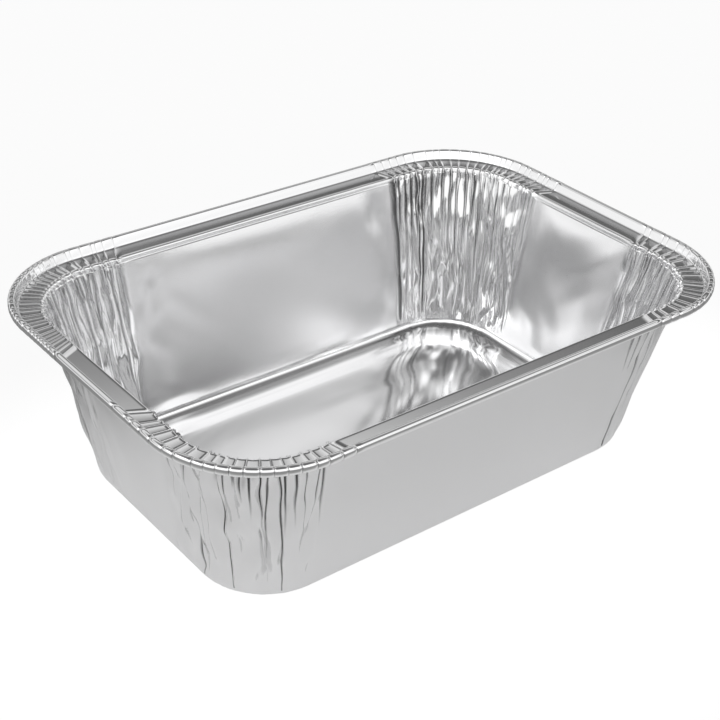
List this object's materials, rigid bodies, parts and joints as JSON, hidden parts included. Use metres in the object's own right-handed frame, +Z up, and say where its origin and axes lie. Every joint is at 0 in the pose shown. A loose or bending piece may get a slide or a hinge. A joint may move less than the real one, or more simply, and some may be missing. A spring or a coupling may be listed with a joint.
{
  "type": "aluminium foil tray",
  "caption": "Oblong food tray pressed from one sheet of aluminium foil: leaning walls, gathered corners, a flat ledge and a rolled rim",
  "frame": {"origin": "centre of the footprint, on the table", "axes": "+X along the long side, +Y along the short side, +Z up out of the mouth"},
  "size_m": [0.218, 0.1506, 0.0664],
  "materials": {
    "foil": "bright rolled foil, glossy inside and satin outside"
  },
  "bodies": {
    "root": {"tray": "foil"}
  },
  "joints": []
}
